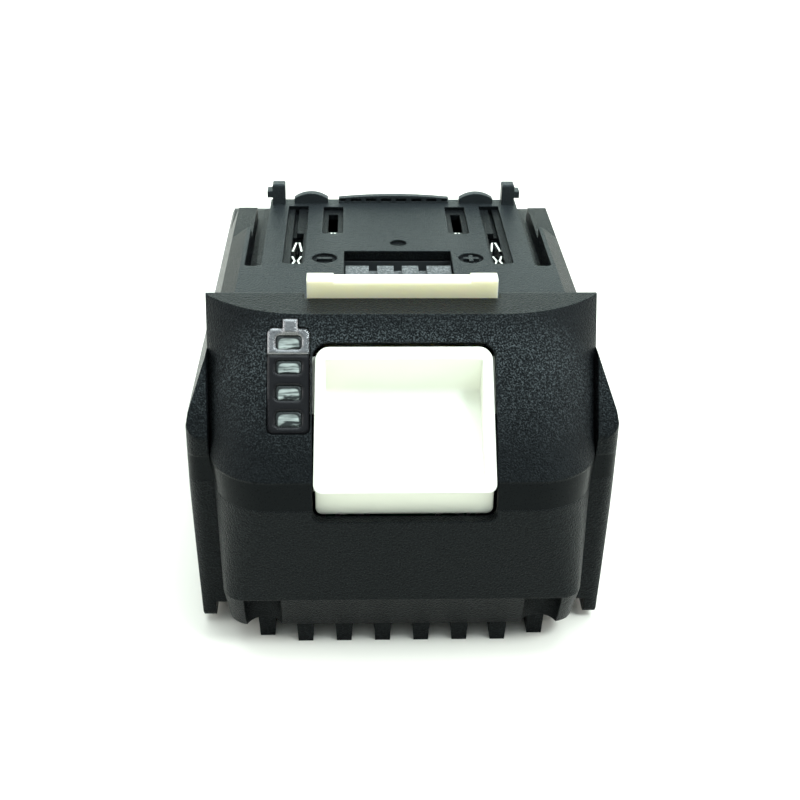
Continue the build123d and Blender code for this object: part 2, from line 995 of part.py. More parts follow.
def make_spring(x):
    inner_radius = spring_outer_radius - spring_wire
    sleeve = rod(x, spring_y, spring_seat_z, skirt_foot_z, spring_outer_radius)
    return sleeve - rod(x, spring_y, spring_seat_z, skirt_foot_z, inner_radius)


# Charge gauge
def window_block(index, gap, depth_out, depth_in):
    low = window_lows[index] - gap
    high = window_highs[index] + gap
    block = face_slab(window_left - gap, window_right + gap, low, high, depth_out, depth_in)
    corners = block.edges().filter_by(Axis(face_plane.origin, face_plane.z_dir))
    return fillet(corners, window_corner + gap)


def window_cut(index, gap):
    return window_block(index, gap, case_wall, -beyond)


def make_window(index):
    return window_block(index, 0, -gauge_sink - window_sink, -pipe_depth)


def make_bezel():
    plate = face_slab(gauge_left, gauge_right, gauge_low, gauge_split - key_gap / 2, -gauge_sink, -case_wall)
    both_low = plate.edges().filter_by(Axis(face_plane.origin, face_plane.z_dir)).sort_by(Axis.Z)[:2]
    plate = fillet(both_low, gauge_corner)
    for index in range(1, len(window_lows)):
        plate -= window_cut(index, close_gap / 2)
    return plate


def make_key():
    plate = face_slab(gauge_left, gauge_right, gauge_split + key_gap / 2, gauge_high, -gauge_sink, -case_wall)
    both_high = plate.edges().filter_by(Axis(face_plane.origin, face_plane.z_dir)).sort_by(Axis.Z)[-2:]
    plate = fillet(both_high, gauge_corner)
    nub_top = nub_rise - gauge_sink
    plate += face_slab(nub_left, nub_right, gauge_high - gauge_corner, nub_high, nub_top, -case_wall)
    plate += face_rod(switch_x, switch_up, -case_wall / 2, -key_stem_reach, key_stem_radius)
    return plate - window_cut(0, close_gap / 2)


def make_gauge_board():
    return face_slab(
        gauge_board_left,
        gauge_board_right,
        gauge_board_low,
        gauge_board_high,
        -gauge_board_depth,
        -gauge_board_depth - gauge_board_thickness,
    )


def make_led(index):
    middle_x = (window_left + window_right) / 2
    middle_up = (window_lows[index] + window_highs[index]) / 2
    return face_slab(
        middle_x - led_width / 2,
        middle_x + led_width / 2,
        middle_up - led_height / 2,
        middle_up + led_height / 2,
        led_rise - gauge_board_depth,
        -gauge_board_depth,
    )


def make_switch():
    half = switch_size / 2
    body = face_slab(
        switch_x - half,
        switch_x + half,
        switch_up - half,
        switch_up + half,
        switch_rise - gauge_board_depth,
        -gauge_board_depth,
    )
    hole_floor = switch_rise - gauge_board_depth - plunger_hole_depth
    return body - face_rod(switch_x, switch_up, 0, hole_floor, plunger_hole_radius)


def make_plunger():
    foot = switch_rise - gauge_board_depth - plunger_bury
    return face_rod(switch_x, switch_up, -key_stem_reach, foot, plunger_radius)


# Cells
def column_y(column):
    return holder_front_y + holder_wall + cell_radius + column * cell_pitch


def layer_z(layer):
    return low_layer_z + layer * cell_pitch


def make_cell(column, layer):
    can_length = cell_length - cap_height
    can = Cylinder(cell_radius, can_length)
    can = chamfer(can.edges(), cell_chamfer)
    cap_middle = can_length / 2
    cell = can + Pos(0, 0, cap_middle) * Cylinder(cap_radius, 2 * cap_height)
    cell = Pos(0, 0, -cap_height / 2) * cell
    turn = 90 if column % 2 == 0 else -90
    return Pos(0, column_y(column), layer_z(layer)) * (Rot(0, turn, 0) * cell)


holder_top_z = layer_z(1) + cell_radius + holder_wall


def make_holder(side):
    corners = [
        (holder_front_y, floor_z),
        (holder_rear_y, floor_z),
        (holder_rear_y, holder_top_z),
        (holder_front_y, holder_top_z),
    ]
    block = side_prism(rounded(corners, [holder_corner] * len(corners)), cell_length / 2)
    holder = block & slab(holder_inner_x, beyond, -beyond, beyond, -beyond, beyond)
    for y in (board_post_front_y, board_post_rear_y):
        holder += rod(board_post_x, y, layer_z(1), board_z, board_post_radius)
    for column in range(cell_columns):
        for layer in range(2):
            bore = Rot(0, 90, 0) * Cylinder(cell_radius + bore_gap, 2 * cell_length)
            holder -= Pos(0, column_y(column), layer_z(layer)) * bore
    for y in (board_post_front_y, board_post_rear_y):
        pilot = board_z + board_thickness - board_screw_length
        holder -= rod(board_post_x, y, pilot, board_z, board_screw_radius)
    return holder if side > 0 else mirror(holder, about=Plane.YZ)


def make_strip(side, first, last):
    inner = side * cell_length / 2
    outer = side * (cell_length / 2 + strip_thickness)
    return slab(
        min(inner, outer),
        max(inner, outer),
        column_y(first) - strip_half_width,
        column_y(last) + strip_half_width,
        strip_low_z,
        strip_high_z,
    )


def make_tab(side, lap_y, board_y):
    # Laps an end strip, runs above the other strips, then turns in under the board
    strip_face = cell_length / 2 + strip_thickness
    tab_face = strip_face + tab_thickness
    lap_low = lap_y - tab_width / 2
    lap_high = lap_y + tab_width / 2
    board_low = board_y - tab_width / 2
    board_high = board_y + tab_width / 2
    tab = slab(strip_face, tab_face, lap_low, lap_high, tab_lap_z, tab_high_z)
    low = min(lap_low, board_low)
    high = max(lap_high, board_high)
    tab += slab(strip_face, tab_face, low, high, tab_low_z, tab_high_z)
    tab += slab(strip_face, tab_face, board_low, board_high, tab_low_z, board_z)
    tab += slab(tab_board_inner, tab_face, board_low, board_high, board_z - tab_thickness, board_z)
    return tab if side > 0 else mirror(tab, about=Plane.YZ)


def make_foam(first, last):
    return slab(
        -foam_half,
        foam_half,
        column_y(first) - foam_overhang,
        column_y(last) + foam_overhang,
        floor_z,
        layer_z(0) - cell_radius,
    )


def make_sheet():
    sheet_top_z = holder_top_z + sheet_thickness
    sheet = slab(-sheet_half, sheet_half, sheet_front_y, sheet_rear_y, holder_top_z, sheet_top_z)
    for y in (board_post_front_y, board_post_rear_y):
        sheet -= both_sides(rod(board_post_x, y, 0, beyond, board_post_radius + close_gap))
    return sheet


def make_thermistor():
    valley_y = (column_y(1) + column_y(2)) / 2
    reach = cell_radius + bead_radius
    rise = math.sqrt(reach**2 - (cell_pitch / 2) ** 2)
    bead = Rot(0, 90, 0) * Cylinder(bead_radius, bead_length)
    return Pos(0, valley_y, layer_z(1) + rise) * bead


# Circuit board
board_top_z = board_z + board_thickness


def make_board():
    board = slab(-board_half, board_half, board_front_y, board_rear_y, board_z, board_top_z)
    for y in (board_post_front_y, board_post_rear_y):
        board -= both_sides(rod(board_post_x, y, 0, beyond, board_screw_radius))
    return board


def make_board_screws():
    screws = []
    for y in (board_post_front_y, board_post_rear_y):
        screw = rod(board_post_x, y, board_top_z - board_screw_length, board_top_z, board_screw_radius)
        screw += rod(board_post_x, y, board_top_z, board_top_z + board_screw_head_height, board_screw_head)
        screws.append(both_sides(screw))
    return screws[0] + screws[1]


def make_terminal_block():
    block = slab(-block_half, block_half, block_front_y, block_end_y, board_top_z, block_top_z)
    block -= slab(
        -opening_half, opening_half, -beyond, connector_rear_y + 2 * close_gap, -beyond, beyond
    )
    pockets = slab(pocket_inner, pocket_outer, pocket_front_y, pocket_rear_y, -beyond, beyond)
    pockets += slab(
        signal_pocket_inner,
        signal_pocket_outer,
        signal_pocket_front_y,
        signal_pocket_rear_y,
        -beyond,
        beyond,
    )
    return block - both_sides(pockets)


def leaf(points):
    sheet = trace(Polyline(*points), line_width=leaf_thickness)
    return Pos(0, 0, board_top_z) * extrude(sheet, amount=leaf_top_z - board_top_z)


def make_main_contact(side):
    middle_y = (first_leaf_front_y + first_leaf_rear_y) / 2
    contact = slab(
        contact_x - contact_base_half,
        contact_x + contact_base_half,
        first_leaf_front_y - leaf_thickness,
        second_leaf_rear_y + leaf_thickness,
        board_top_z,
        board_top_z + contact_base_height,
    )
    for hand in (-1, 1):
        wide = contact_x + hand * leaf_spread
        tight = contact_x + hand * leaf_pinch
        contact += leaf([(wide, first_leaf_front_y), (tight, middle_y), (wide, first_leaf_rear_y)])
        contact += leaf([(wide, second_leaf_front_y), (tight, second_leaf_rear_y)])
    return contact if side > 0 else mirror(contact, about=Plane.YZ)


def make_signal_contact(side):
    contact = slab(
        signal_contact_x - contact_base_half,
        signal_contact_x + contact_base_half,
        signal_leaf_front_y - leaf_thickness,
        signal_leaf_rear_y + leaf_thickness,
        board_top_z,
        board_top_z + contact_base_height,
    )
    for hand in (-1, 1):
        wide = signal_contact_x + hand * signal_spread
        tight = signal_contact_x + hand * leaf_pinch
        contact += leaf([(wide, signal_leaf_front_y), (tight, signal_leaf_rear_y)])
    return contact if side > 0 else mirror(contact, about=Plane.YZ)


def make_connector():
    body = slab(
        -connector_half,
        connector_half,
        connector_front_y,
        connector_rear_y,
        board_top_z,
        connector_base_top_z,
    )
    body += slab(
        -connector_half,
        connector_half,
        connector_front_y,
        connector_block_rear_y,
        board_top_z,
        connector_rib_top_z,
    )
    for left, right in connector_block_edges:
        body += slab(
            left, right, connector_front_y, connector_block_rear_y, board_top_z, connector_block_top_z
        )
    for index in (-1, 0, 1):
        x = index * blade_pitch
        half = blade_thickness / 2
        body -= slab(x - half, x + half, blade_front_y, blade_rear_y, -beyond, beyond)
    return body


def make_data_contacts():
    blades = []
    for index in (-1, 0, 1):
        x = index * blade_pitch
        half = blade_thickness / 2
        blades.append(slab(x - half, x + half, blade_front_y, blade_rear_y, board_top_z, blade_top_z))
    return blades[0] + blades[1] + blades[2]


def make_block_on_board(x, y, length, width, height):
    half_x = length / 2
    half_y = width / 2
    return slab(x - half_x, x + half_x, y - half_y, y + half_y, board_top_z, board_top_z + height)


def make_capacitors():
    front = make_block_on_board(cap_x, cap_front_y, cap_size, cap_size, cap_block_height)
    rear = make_block_on_board(cap_x, cap_rear_y, cap_size, cap_size, cap_block_height)
    return both_sides(front + rear)


# Write every piece
save("lower_case", make_lower_case())
save("upper_case", make_upper_case())
save("case_screws", make_screw())
save("release_button", make_button())
save("latch_hook", make_latch())
save("release_spring_left", make_spring(-spring_x))
save("release_spring_right", make_spring(spring_x))
save("gauge_bezel", make_bezel())
save("check_key", make_key())
save("gauge_board", make_gauge_board())
save("check_switch", make_switch())
save("switch_plunger", make_plunger())
for window_index in range(len(window_lows)):
    save("gauge_window_" + str(window_index + 1), make_window(window_index))
    save("led_" + str(window_index + 1), make_led(window_index))
for cell_column in range(cell_columns):
    for cell_layer in range(2):
        cell_number = cell_column * 2 + cell_layer + 1
        save("cell_" + str(cell_number).zfill(2), make_cell(cell_column, cell_layer))
save("cell_holder_left", make_holder(-1))
save("cell_holder_right", make_holder(1))
save("strip_right_1", make_strip(1, 0, 0))
save("strip_right_2", make_strip(1, 1, 2))
save("strip_right_3", make_strip(1, 3, 4))
save("strip_left_1", make_strip(-1, 0, 1))
save("strip_left_2", make_strip(-1, 2, 3))
save("strip_left_3", make_strip(-1, 4, 4))
save("positive_tab", make_tab(1, column_y(0), board_front_y))
save("negative_tab", make_tab(-1, column_y(cell_columns - 1), board_rear_y - tab_width / 2))
save("foam_pad_front", make_foam(0, 1))
save("foam_pad_rear", make_foam(cell_columns - 2, cell_columns - 1))
save("insulator_sheet", make_sheet())
save("thermistor", make_thermistor())
save("circuit_board", make_board())
save("board_screws", make_board_screws())
save("terminal_block", make_terminal_block())
save("positive_contact", make_main_contact(1))
save("negative_contact", make_main_contact(-1))
save("signal_contact_right", make_signal_contact(1))
save("signal_contact_left", make_signal_contact(-1))
save("data_connector", make_connector())
save("data_contacts", make_data_contacts())
save("control_chip", make_block_on_board(-chip_x, chip_y, chip_size, chip_size, chip_height))
save("balance_chip", make_block_on_board(chip_x, chip_y, chip_size, chip_size, chip_height))
save("main_fuse", make_block_on_board(0, fuse_y, fuse_length, fuse_width, fuse_height))
save("board_capacitors", make_capacitors())
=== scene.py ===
import json
import math

import bpy
from mathutils import Matrix, Vector


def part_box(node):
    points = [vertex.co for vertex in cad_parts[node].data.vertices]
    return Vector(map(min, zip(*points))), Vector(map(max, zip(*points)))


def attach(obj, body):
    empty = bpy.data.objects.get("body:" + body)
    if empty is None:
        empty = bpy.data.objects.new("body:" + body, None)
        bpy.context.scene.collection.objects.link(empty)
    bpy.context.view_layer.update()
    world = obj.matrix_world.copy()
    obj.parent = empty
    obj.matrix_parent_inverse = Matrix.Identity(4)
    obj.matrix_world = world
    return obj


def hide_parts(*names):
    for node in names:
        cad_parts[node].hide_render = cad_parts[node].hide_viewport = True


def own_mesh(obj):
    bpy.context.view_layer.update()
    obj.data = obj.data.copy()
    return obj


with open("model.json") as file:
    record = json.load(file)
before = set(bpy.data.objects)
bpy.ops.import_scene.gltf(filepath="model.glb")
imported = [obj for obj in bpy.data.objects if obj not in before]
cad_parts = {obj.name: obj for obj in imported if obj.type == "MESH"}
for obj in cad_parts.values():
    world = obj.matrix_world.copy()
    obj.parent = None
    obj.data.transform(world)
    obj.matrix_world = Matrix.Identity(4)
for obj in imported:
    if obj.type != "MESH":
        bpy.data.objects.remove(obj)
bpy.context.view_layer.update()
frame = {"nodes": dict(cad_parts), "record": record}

# Sizes are metres, with the pack's own frame: +X right of the front face, +Y to the rear, +Z up.
# Names that end in _mm or _MM hold millimetres, which MM turns into metres.
MM = 0.001
nodes = frame["nodes"]


# Helpers for the materials
BEVEL_SAMPLES = 6


def new_material(name):
    material = bpy.data.materials.new(name)
    material.use_nodes = True
    tree = material.node_tree
    shader = tree.nodes["Principled BSDF"]
    return material, tree, shader


def object_coords(tree):
    return tree.nodes.new("ShaderNodeTexCoord").outputs["Object"]


def along_axes(tree, vector):
    # The X, Y and Z of a vector, looked up by those letters
    node = tree.nodes.new("ShaderNodeSeparateXYZ")
    tree.links.new(vector, node.inputs[0])
    return node.outputs


def noise(tree, coords, grain_mm, detail, roughness):
    node = tree.nodes.new("ShaderNodeTexNoise")
    node.inputs["Scale"].default_value = 1 / (grain_mm * MM)
    node.inputs["Detail"].default_value = detail
    node.inputs["Roughness"].default_value = roughness
    tree.links.new(coords, node.inputs["Vector"])
    return node.outputs["Fac"]


def spread(tree, value, from_low, from_high, to_low, to_high):
    # Carries one range over to another, and holds what lies outside it at the ends
    node = tree.nodes.new("ShaderNodeMapRange")
    node.inputs["From Min"].default_value = from_low
    node.inputs["From Max"].default_value = from_high
    node.inputs["To Min"].default_value = to_low
    node.inputs["To Max"].default_value = to_high
    tree.links.new(value, node.inputs["Value"])
    return node.outputs["Result"]


def calculate(tree, operation, first, second):
    node = tree.nodes.new("ShaderNodeMath")
    node.operation = operation
    tree.links.new(first, node.inputs[0])
    tree.links.new(second, node.inputs[1])
    return node.outputs[0]


def add(tree, first, second):
    return calculate(tree, "ADD", first, second)


def multiply(tree, first, second):
    return calculate(tree, "MULTIPLY", first, second)


def larger(tree, first, second):
    return calculate(tree, "MAXIMUM", first, second)


def fourth_power(tree, value):
    square = multiply(tree, value, value)
    return multiply(tree, square, square)


def within(tree, value, low, high, soft):
    # One between low and high, fading to nothing over soft outside them
    rise = spread(tree, value, low - soft, low, 0.0, 1.0)
    fall = spread(tree, value, high, high + soft, 1.0, 0.0)
    return multiply(tree, rise, fall)


def colour_between(tree, value, first, second):
    # Each end is a plain colour or the output of another node
    node = tree.nodes.new("ShaderNodeMix")
    node.data_type = "RGBA"
    tree.links.new(value, node.inputs["Factor"])
    for end, colour in (("A", first), ("B", second)):
        if isinstance(colour, tuple):
            node.inputs[end].default_value = (*colour, 1)
        else:
            tree.links.new(colour, node.inputs[end])
    return node.outputs["Result"]


def rounded_normal(tree, radius_mm):
    node = tree.nodes.new("ShaderNodeBevel")
    node.samples = BEVEL_SAMPLES
    node.inputs["Radius"].default_value = radius_mm * MM
    return node.outputs["Normal"]


def relief(tree, shader, height, depth_mm, edge_mm):
    # Bumps of the given depth, on edges that look rounded
    node = tree.nodes.new("ShaderNodeBump")
    node.inputs["Strength"].default_value = 1.0
    node.inputs["Distance"].default_value = depth_mm * MM
    tree.links.new(height, node.inputs["Height"])
    tree.links.new(rounded_normal(tree, edge_mm), node.inputs["Normal"])
    tree.links.new(node.outputs["Normal"], shader.inputs["Normal"])


# Nearly all of a noise lies between these two
NOISE_LOW = 0.3
NOISE_HIGH = 0.7


def uneven_roughness(tree, shader, grain, rough):
    low, high = rough
    tree.links.new(spread(tree, grain, NOISE_LOW, NOISE_HIGH, low, high), shader.inputs["Roughness"])


# Plain plastics and metals
GRAIN_DETAIL = 3.0
GRAIN_ROUGHNESS = 0.6
CLOUD_MM = 18.0
CLOUD_DETAIL = 3.0
CLOUD_ROUGHNESS = 0.55
STREAK_MM = 0.6
STREAK_DETAIL = 4.0
STREAK_DEPTH_MM = 0.01


def clouds(tree, coords, grain_mm):
    return noise(tree, coords, grain_mm, CLOUD_DETAIL, CLOUD_ROUGHNESS)


def plastic(name, colours, grain_mm, depth_mm, rough, edge_mm, gloss=0.5):
    # Moulded plastic: fine spark texture, mottled colour and roughness, softened edges
    material, tree, shader = new_material(name)
    shader.inputs["Specular IOR Level"].default_value = gloss
    coords = object_coords(tree)
    grain = noise(tree, coords, grain_mm, GRAIN_DETAIL, GRAIN_ROUGHNESS)
    mottled = colour_between(tree, clouds(tree, coords, CLOUD_MM), *colours)
    tree.links.new(mottled, shader.inputs["Base Color"])
    uneven_roughness(tree, shader, grain, rough)
    relief(tree, shader, grain, depth_mm, edge_mm)
    return material


def metal(name, colour, rough, edge_mm):
    material, tree, shader = new_material(name)
    streaks = noise(tree, object_coords(tree), STREAK_MM, STREAK_DETAIL, GRAIN_ROUGHNESS)
    shader.inputs["Metallic"].default_value = 1.0
    shader.inputs["Base Color"].default_value = (*colour, 1)
    uneven_roughness(tree, shader, streaks, rough)
    relief(tree, shader, streaks, STREAK_DEPTH_MM, edge_mm)
    return material


# Case: spark-textured black plastic, with a smooth band between the two halves at the front, painted
# glint dots on the leaning face and painted light on what stands on the deck behind the hood
CASE_GLOSS = 0.08
CASE_SHEEN_TINT = (0.85, 0.96, 1.0, 1)
CASE_DARK = (0.0026, 0.0031, 0.0034)
CASE_LESS_DARK = (0.0038, 0.0045, 0.0049)
# Painted glint dots
CASE_PAINTED_GLINT = (0.085, 0.100, 0.104)
# Painted light on what stands on the deck behind the hood
CASE_PAINTED_TOP_LIGHT = (0.030, 0.036, 0.038)
CASE_BAND = (0.0028, 0.0033, 0.0036)
CASE_ROUGH = (0.24, 0.4)
CASE_CLOUD_MM = 22.0
CASE_GRAIN_MM = 0.3
CASE_GRAIN_DETAIL = 1.5
CASE_DEPTH_MM = 0.22
CASE_EDGE_MM = 0.4
SPECK_MM = 0.28
SPECK_DETAIL = 1.0
SPECK_ROUGHNESS = 0.5
SPECK_FROM = 0.46
SPECK_FULL = 0.74
FAINT = 0.12

# The smooth band, the leaning face with its painted glint dots, and what stands on the deck behind the
# hood, which is painted lighter
BAND_LOW = 31.6 * MM
BAND_HIGH = 36.2 * MM
BAND_SOFT = 0.3 * MM
BAND_FRONT = -45.0 * MM
BAND_REAR = -43.0 * MM
FACE_LOW = 40.0 * MM
FACE_HIGH = 56.0 * MM
FACE_FRONT = -41.0 * MM
FACE_REAR = -36.0 * MM
RAISED_LOW = 56.4 * MM
RAISED_HIGH = 56.8 * MM
HOOD_REAR = -29.0 * MM
DECK_FRONT = -26.0 * MM


def painted_glint_strength(tree, coords, place, flat):
    # Painted glints: light dots in the base colour, strongest high on the leaning face where the light
    # from above falls, fainter lower and further back, and hardly on the band
    grain = noise(tree, coords, SPECK_MM, SPECK_DETAIL, SPECK_ROUGHNESS)
    glint_dots = spread(tree, grain, SPECK_FROM, SPECK_FULL, 0.0, 1.0)
    high = spread(tree, place["Z"], FACE_LOW, FACE_HIGH, FAINT, 1.0)
    on_face = spread(tree, place["Y"], FACE_FRONT, FACE_REAR, 1.0, FAINT)
    return multiply(tree, multiply(tree, glint_dots, flat), multiply(tree, high, on_face))


def painted_top_light_strength(tree, place):
    # Painted light: the rails, posts and ridge that stand on the deck behind the hood are painted
    # lighter, standing in for the light from above and behind that falls on them
    raised = spread(tree, place["Z"], RAISED_LOW, RAISED_HIGH, 0.0, 1.0)
    behind_hood = spread(tree, place["Y"], HOOD_REAR, DECK_FRONT, 0.0, 1.0)
    return multiply(tree, raised, behind_hood)


def band_strength(tree, place):
    in_band = within(tree, place["Z"], BAND_LOW, BAND_HIGH, BAND_SOFT)
    at_front = spread(tree, place["Y"], BAND_FRONT, BAND_REAR, 1.0, 0.0)
    return multiply(tree, in_band, at_front)


def case_material(name):
    material, tree, shader = new_material(name)
    shader.inputs["Specular IOR Level"].default_value = CASE_GLOSS
    shader.inputs["Specular Tint"].default_value = CASE_SHEEN_TINT
    coords = object_coords(tree)
    place = along_axes(tree, coords)
    band = band_strength(tree, place)
    flat = spread(tree, band, 0.0, 1.0, 1.0, FAINT)
    dark = colour_between(tree, clouds(tree, coords, CASE_CLOUD_MM), CASE_DARK, CASE_LESS_DARK)
    with_painted_glints = colour_between(tree, painted_glint_strength(tree, coords, place, flat), dark, CASE_PAINTED_GLINT)
    with_painted_top_light = colour_between(tree, painted_top_light_strength(tree, place), with_painted_glints, CASE_PAINTED_TOP_LIGHT)
    tree.links.new(colour_between(tree, band, with_painted_top_light, CASE_BAND), shader.inputs["Base Color"])
    grain = noise(tree, coords, CASE_GRAIN_MM, CASE_GRAIN_DETAIL, GRAIN_ROUGHNESS)
    uneven_roughness(tree, shader, grain, CASE_ROUGH)
    relief(tree, shader, multiply(tree, grain, flat), CASE_DEPTH_MM, CASE_EDGE_MM)
    return material


# Gauge windows: clear mouldings drawn in an opaque colour, with a painted streaked reflection high in
# each window and painted shade low in it and round its rim, where it looks into the dark case
# Painted shade where the window looks into the dark case, then the dim and bright ends of its painted
# streaked reflection
WINDOW_PAINTED_SHADE = (0.010, 0.014, 0.013)
WINDOW_REFLECTION_DIM = (0.07, 0.085, 0.08)
WINDOW_REFLECTION_BRIGHT = (0.40, 0.45, 0.42)
WINDOW_ROUGH = (0.08, 0.2)
WINDOW_STRETCH = (0.12, 1.0, 1.0)
WINDOW_STREAK_MM = 0.45
WINDOW_STREAK_LOW = 0.35
WINDOW_STREAK_HIGH = 0.65
WINDOW_DEPTH_MM = 0.08
WINDOW_EDGE_MM = 0.7

# Shares of a window's own width and height
WAVE_SHARE = 0.18
LEFT_DROP_SHARE = 0.36
LEFT_DROP_FROM_SHARE = 0.08
LEFT_DROP_TO_SHARE = 0.34
REFLECTION_FROM_SHARE = 0.5
REFLECTION_FULL_SHARE = 0.66
RIM_LEFT_SHARE = 0.08
RIM_RIGHT_SHARE = 0.92
RIM_LOW_SHARE = 0.13
RIM_HIGH_SHARE = 0.90

# Where the fade to the rim starts, on a scale that is one at the rim
RIM_SOFT_FROM = 0.62


def painted_reflection_above(tree, share, streaks):
    # The painted reflection has a wavy lower end, which reaches lowest along the left edge
    wave = spread(tree, streaks, WINDOW_STREAK_LOW, WINDOW_STREAK_HIGH, -WAVE_SHARE, WAVE_SHARE)
    drop = spread(tree, share["X"], LEFT_DROP_FROM_SHARE, LEFT_DROP_TO_SHARE, LEFT_DROP_SHARE, 0.0)
    height = add(tree, add(tree, share["Z"], wave), drop)
    return spread(tree, height, REFLECTION_FROM_SHARE, REFLECTION_FULL_SHARE, 0.0, 1.0)


def inside_rim(tree, share):
    # One inside a rounded rectangle, fading to nothing at its rim, where the two powers sum to one
    from_x = fourth_power(tree, spread(tree, share["X"], RIM_LEFT_SHARE, RIM_RIGHT_SHARE, -1.0, 1.0))
    from_z = fourth_power(tree, spread(tree, share["Z"], RIM_LOW_SHARE, RIM_HIGH_SHARE, -1.0, 1.0))
    return spread(tree, add(tree, from_x, from_z), RIM_SOFT_FROM, 1.0, 1.0, 0.0)


def light_pipe(name):
    material, tree, shader = new_material(name)
    texture = tree.nodes.new("ShaderNodeTexCoord")
    stretch = tree.nodes.new("ShaderNodeMapping")
    stretch.inputs["Scale"].default_value = WINDOW_STRETCH
    tree.links.new(texture.outputs["Object"], stretch.inputs["Vector"])
    streaks = noise(tree, stretch.outputs["Vector"], WINDOW_STREAK_MM, GRAIN_DETAIL, GRAIN_ROUGHNESS)
    share = along_axes(tree, texture.outputs["Generated"])
    # Painted reflection in the upper part of the window, painted shade in the lower part and round the
    # rim; body is the painted reflection
    reflection_share = multiply(tree, painted_reflection_above(tree, share, streaks), inside_rim(tree, share))
    clear = spread(tree, streaks, WINDOW_STREAK_LOW, WINDOW_STREAK_HIGH, 0.0, 1.0)
    body = colour_between(tree, clear, WINDOW_REFLECTION_DIM, WINDOW_REFLECTION_BRIGHT)
    tree.links.new(colour_between(tree, reflection_share, WINDOW_PAINTED_SHADE, body), shader.inputs["Base Color"])
    uneven_roughness(tree, shader, streaks, WINDOW_ROUGH)
    relief(tree, shader, streaks, WINDOW_DEPTH_MM, WINDOW_EDGE_MM)
    return material


# Blocks in the deck opening: coarse spark-eroded grey plastic
BLOCK_DARK = (0.025, 0.03, 0.032)
BLOCK_PALE = (0.19, 0.20, 0.205)
BLOCK_ROUGH = (0.4, 0.6)
BLOCK_GRAIN_MM = 0.42
BLOCK_GRAIN_DETAIL = 2.0
BLOCK_GRAIN_ROUGHNESS = 0.7
BLOCK_SPECK_FROM = 0.46
BLOCK_SPECK_FULL = 0.62
BLOCK_DEPTH_MM = 0.15
BLOCK_EDGE_MM = 0.2


def coarse_plastic(name):
    material, tree, shader = new_material(name)
    coords = object_coords(tree)
    grain = noise(tree, coords, BLOCK_GRAIN_MM, BLOCK_GRAIN_DETAIL, BLOCK_GRAIN_ROUGHNESS)
    specks = spread(tree, grain, BLOCK_SPECK_FROM, BLOCK_SPECK_FULL, 0.0, 1.0)
    tree.links.new(colour_between(tree, specks, BLOCK_DARK, BLOCK_PALE), shader.inputs["Base Color"])
    uneven_roughness(tree, shader, grain, BLOCK_ROUGH)
    relief(tree, shader, grain, BLOCK_DEPTH_MM, BLOCK_EDGE_MM)
    return material


# Latch and gauge key: plastics with one trait of their own
LATCH_GLOW = 0.6
LATCH_GLOW_COLOURS = (1.0, 0.9, 0.6)
LATCH_GLOW_MM = 2.5
KEY_IOR = 2.0


def latch_material(name):
    # Cream plastic that lets some light through
    colours = (0.98, 0.88, 0.64), (0.98, 0.90, 0.69)
    material = plastic(name, colours, grain_mm=0.3, depth_mm=0.006, rough=(0.36, 0.46), edge_mm=0.5)
    shader = material.node_tree.nodes["Principled BSDF"]
    shader.inputs["Subsurface Weight"].default_value = LATCH_GLOW
    shader.inputs["Subsurface Radius"].default_value = LATCH_GLOW_COLOURS
    shader.inputs["Subsurface Scale"].default_value = LATCH_GLOW_MM * MM
    return material


def key_material(name):
    # Polished black that shines more than the gauge frame below it
    colours = (0.012, 0.012, 0.014), (0.016, 0.016, 0.018)
    look = dict(grain_mm=0.9, depth_mm=0.16, rough=(0.12, 0.22), edge_mm=0.9, gloss=1.0)
    material = plastic(name, colours, **look)
    material.node_tree.nodes["Principled BSDF"].inputs["IOR"].default_value = KEY_IOR
    return material


